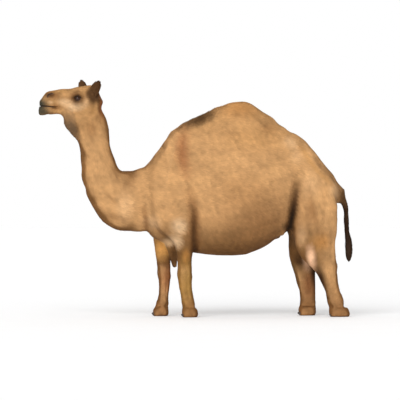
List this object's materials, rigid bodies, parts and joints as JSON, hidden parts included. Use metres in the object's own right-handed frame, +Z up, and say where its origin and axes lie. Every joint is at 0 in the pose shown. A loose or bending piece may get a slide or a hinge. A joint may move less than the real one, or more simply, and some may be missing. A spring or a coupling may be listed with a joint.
{
  "type": "dromedary camel",
  "caption": "Life-size still model of a one-humped camel standing side on, head raised and turned slightly to its left, for a museum floor.",
  "frame": {"origin": "floor level, under the middle of the whole animal", "axes": "+Z up; the animal faces -X and its left side is -Y"},
  "size_m": [2.8564, 0.7404, 2.1224],
  "materials": {
    "coat": "short flat sandy tan hair, darker below and on the legs",
    "ear": "short dark brown hair",
    "eye": "wet dark brown",
    "nail": "dull dark horn",
    "tuft": "long coarse near-black hair"
  },
  "bodies": {
    "root": {"head": "coat", "ear_left": "ear", "ear_right": "ear", "eye_left": "eye", "eye_right": "eye", "neck_upper": "coat", "neck_lower": "coat", "trunk": "coat", "hump": "coat", "foreleg_left": "coat", "foreleg_right": "coat", "hindleg_left": "coat", "hindleg_right": "coat", "forefoot_left": "coat", "forefoot_right": "coat", "hindfoot_left": "coat", "hindfoot_right": "coat", "nail_fore_left_a": "nail", "nail_fore_left_b": "nail", "nail_fore_right_a": "nail", "nail_fore_right_b": "nail", "nail_hind_left_a": "nail", "nail_hind_left_b": "nail", "nail_hind_right_a": "nail", "nail_hind_right_b": "nail", "tail_dock": "coat", "tail_tuft": "tuft"}
  },
  "joints": []
}
